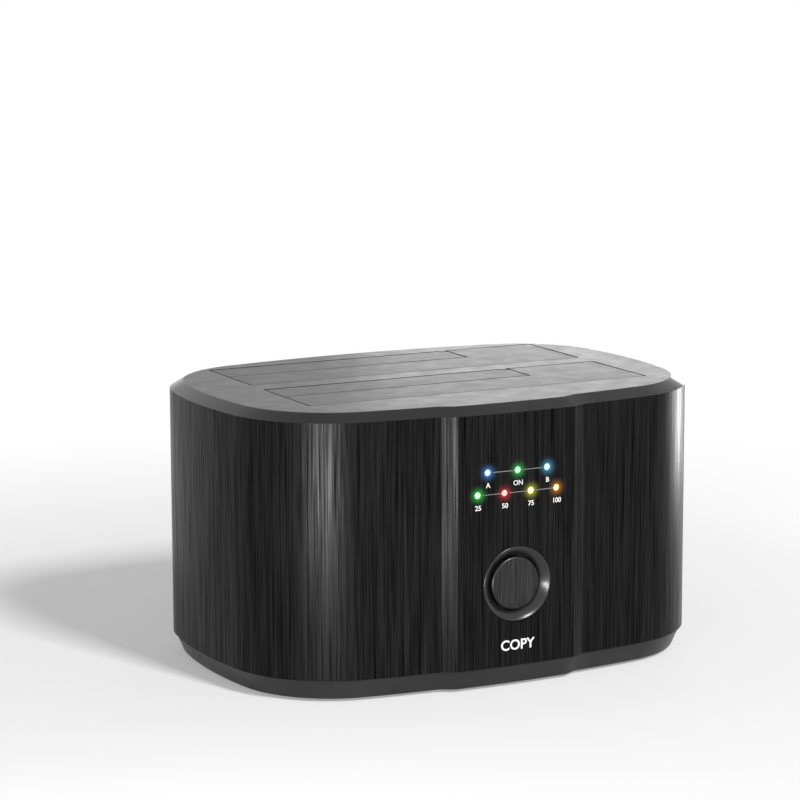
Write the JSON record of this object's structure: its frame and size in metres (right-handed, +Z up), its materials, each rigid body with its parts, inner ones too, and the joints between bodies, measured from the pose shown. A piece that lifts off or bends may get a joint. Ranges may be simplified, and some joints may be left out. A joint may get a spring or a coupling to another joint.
{
  "type": "drive duplicator",
  "caption": "Desktop drive dock and duplicator: oval housing with spring-flap drive bays on top, a front pad with indicator lights and a copy button, and ports at the back.",
  "frame": {"origin": "middle of the footprint, on the plane the rubber feet stand on", "axes": "+Z up; +X to the right seen from the front; -Y towards the front with the lights and the copy button"},
  "size_m": [0.14, 0.1026, 0.0774],
  "materials": {
    "cover_black": "satin top plane with a polished chamfer",
    "sleeve_brushed_black": "fine upright brushed grain under a clear black coat",
    "base_black": "fine moulded texture",
    "well_black": "moulded, lightly textured",
    "flap_black": "satin, fine moulded texture",
    "hinge_steel": "drawn wire",
    "connector_black": "moulded",
    "contact_gold": "plated",
    "board_green": "solder mask",
    "chip_black": "moulded package",
    "capacitor_aluminium": "plain can",
    "choke_grey": "sintered",
    "ring_black": "polished",
    "button_brushed_black": "fine brushed face",
    "lens_blue": "clear tinted lens",
    "lens_green": "clear tinted lens",
    "lens_sky": "clear tinted lens",
    "lens_red": "clear tinted lens",
    "lens_yellow": "clear tinted lens",
    "lens_orange": "clear tinted lens",
    "port_steel": "plated sheet",
    "port_insert_white": "moulded",
    "switch_black": "moulded",
    "rocker_black": "moulded",
    "foot_rubber": "soft pad",
    "screw_steel": "plated"
  },
  "bodies": {
    "housing": {"top_cover": "cover_black", "outer_sleeve": "sleeve_brushed_black", "base_tray": "base_black", "front_bay_well": "well_black", "rear_bay_well": "well_black", "front_large_flap_pin": "hinge_steel", "front_small_flap_pin": "hinge_steel", "rear_large_flap_pin": "hinge_steel", "rear_small_flap_pin": "hinge_steel", "front_flap_spring": "hinge_steel", "rear_flap_spring": "hinge_steel", "front_sata_socket": "connector_black", "rear_sata_socket": "connector_black", "front_sata_contacts": "contact_gold", "rear_sata_contacts": "contact_gold", "main_board": "board_green", "front_board": "board_green", "board_header": "connector_black", "bridge_chip": "chip_black", "capacitors": "capacitor_aluminium", "power_choke": "choke_grey", "button_ring": "ring_black", "tact_switch": "connector_black", "drive_a_led": "lens_blue", "power_led": "lens_green", "drive_b_led": "lens_sky", "progress_25_led": "lens_green", "progress_50_led": "lens_red", "progress_75_led": "lens_yellow", "progress_100_led": "lens_orange", "usb_socket_shell": "port_steel", "usb_socket_core": "port_insert_white", "dc_jack_body": "connector_black", "dc_jack_pin": "port_steel", "power_switch_frame": "switch_black", "rubber_feet": "foot_rubber", "base_screws": "screw_steel", "board_screws": "screw_steel", "well_screws": "screw_steel", "front_board_screws": "screw_steel"},
    "front_large_flap": {"front_large_flap": "flap_black"},
    "front_small_flap": {"front_small_flap": "flap_black"},
    "rear_large_flap": {"rear_large_flap": "flap_black"},
    "rear_small_flap": {"rear_small_flap": "flap_black"},
    "copy_button": {"copy_button": "button_brushed_black"},
    "power_rocker": {"power_rocker": "rocker_black"}
  },
  "joints": [
    {"name": "front_large_flap_hinge", "type": "hinge", "parent": "housing", "child": "front_large_flap", "pos_m": [0.0017, -0.0315, 0.07355], "axis": [-1, 0, 0], "range_deg": [0, 90], "stiffness_Nm_per_rad": 0.0008, "springref_deg": -57.3, "deforming": ["front_flap_spring"]},
    {"name": "front_small_flap_hinge", "type": "hinge", "parent": "housing", "child": "front_small_flap", "pos_m": [0.0017, -0.00015, 0.07665], "axis": [1, 0, 0], "range_deg": [0, 90], "stiffness_Nm_per_rad": 0.0002, "springref_deg": -57.3},
    {"name": "rear_large_flap_hinge", "type": "hinge", "parent": "housing", "child": "rear_large_flap", "pos_m": [0.0017, 0.0055, 0.07355], "axis": [-1, 0, 0], "range_deg": [0, 90], "stiffness_Nm_per_rad": 0.0008, "springref_deg": -57.3, "deforming": ["rear_flap_spring"]},
    {"name": "rear_small_flap_hinge", "type": "hinge", "parent": "housing", "child": "rear_small_flap", "pos_m": [0.0017, 0.03685, 0.07665], "axis": [1, 0, 0], "range_deg": [0, 90], "stiffness_Nm_per_rad": 0.0002, "springref_deg": -57.3},
    {"name": "copy_button_press", "type": "slide", "parent": "housing", "child": "copy_button", "axis": [0, 1, 0], "range_m": [0, 0.001], "stiffness_N_per_m": 800, "springref_m": -0.0004},
    {"name": "power_rocker_tilt", "type": "hinge", "parent": "housing", "child": "power_rocker", "pos_m": [-0.021, 0.04789, 0.009], "axis": [0, 0, -1], "range_deg": [0, 18]}
  ]
}
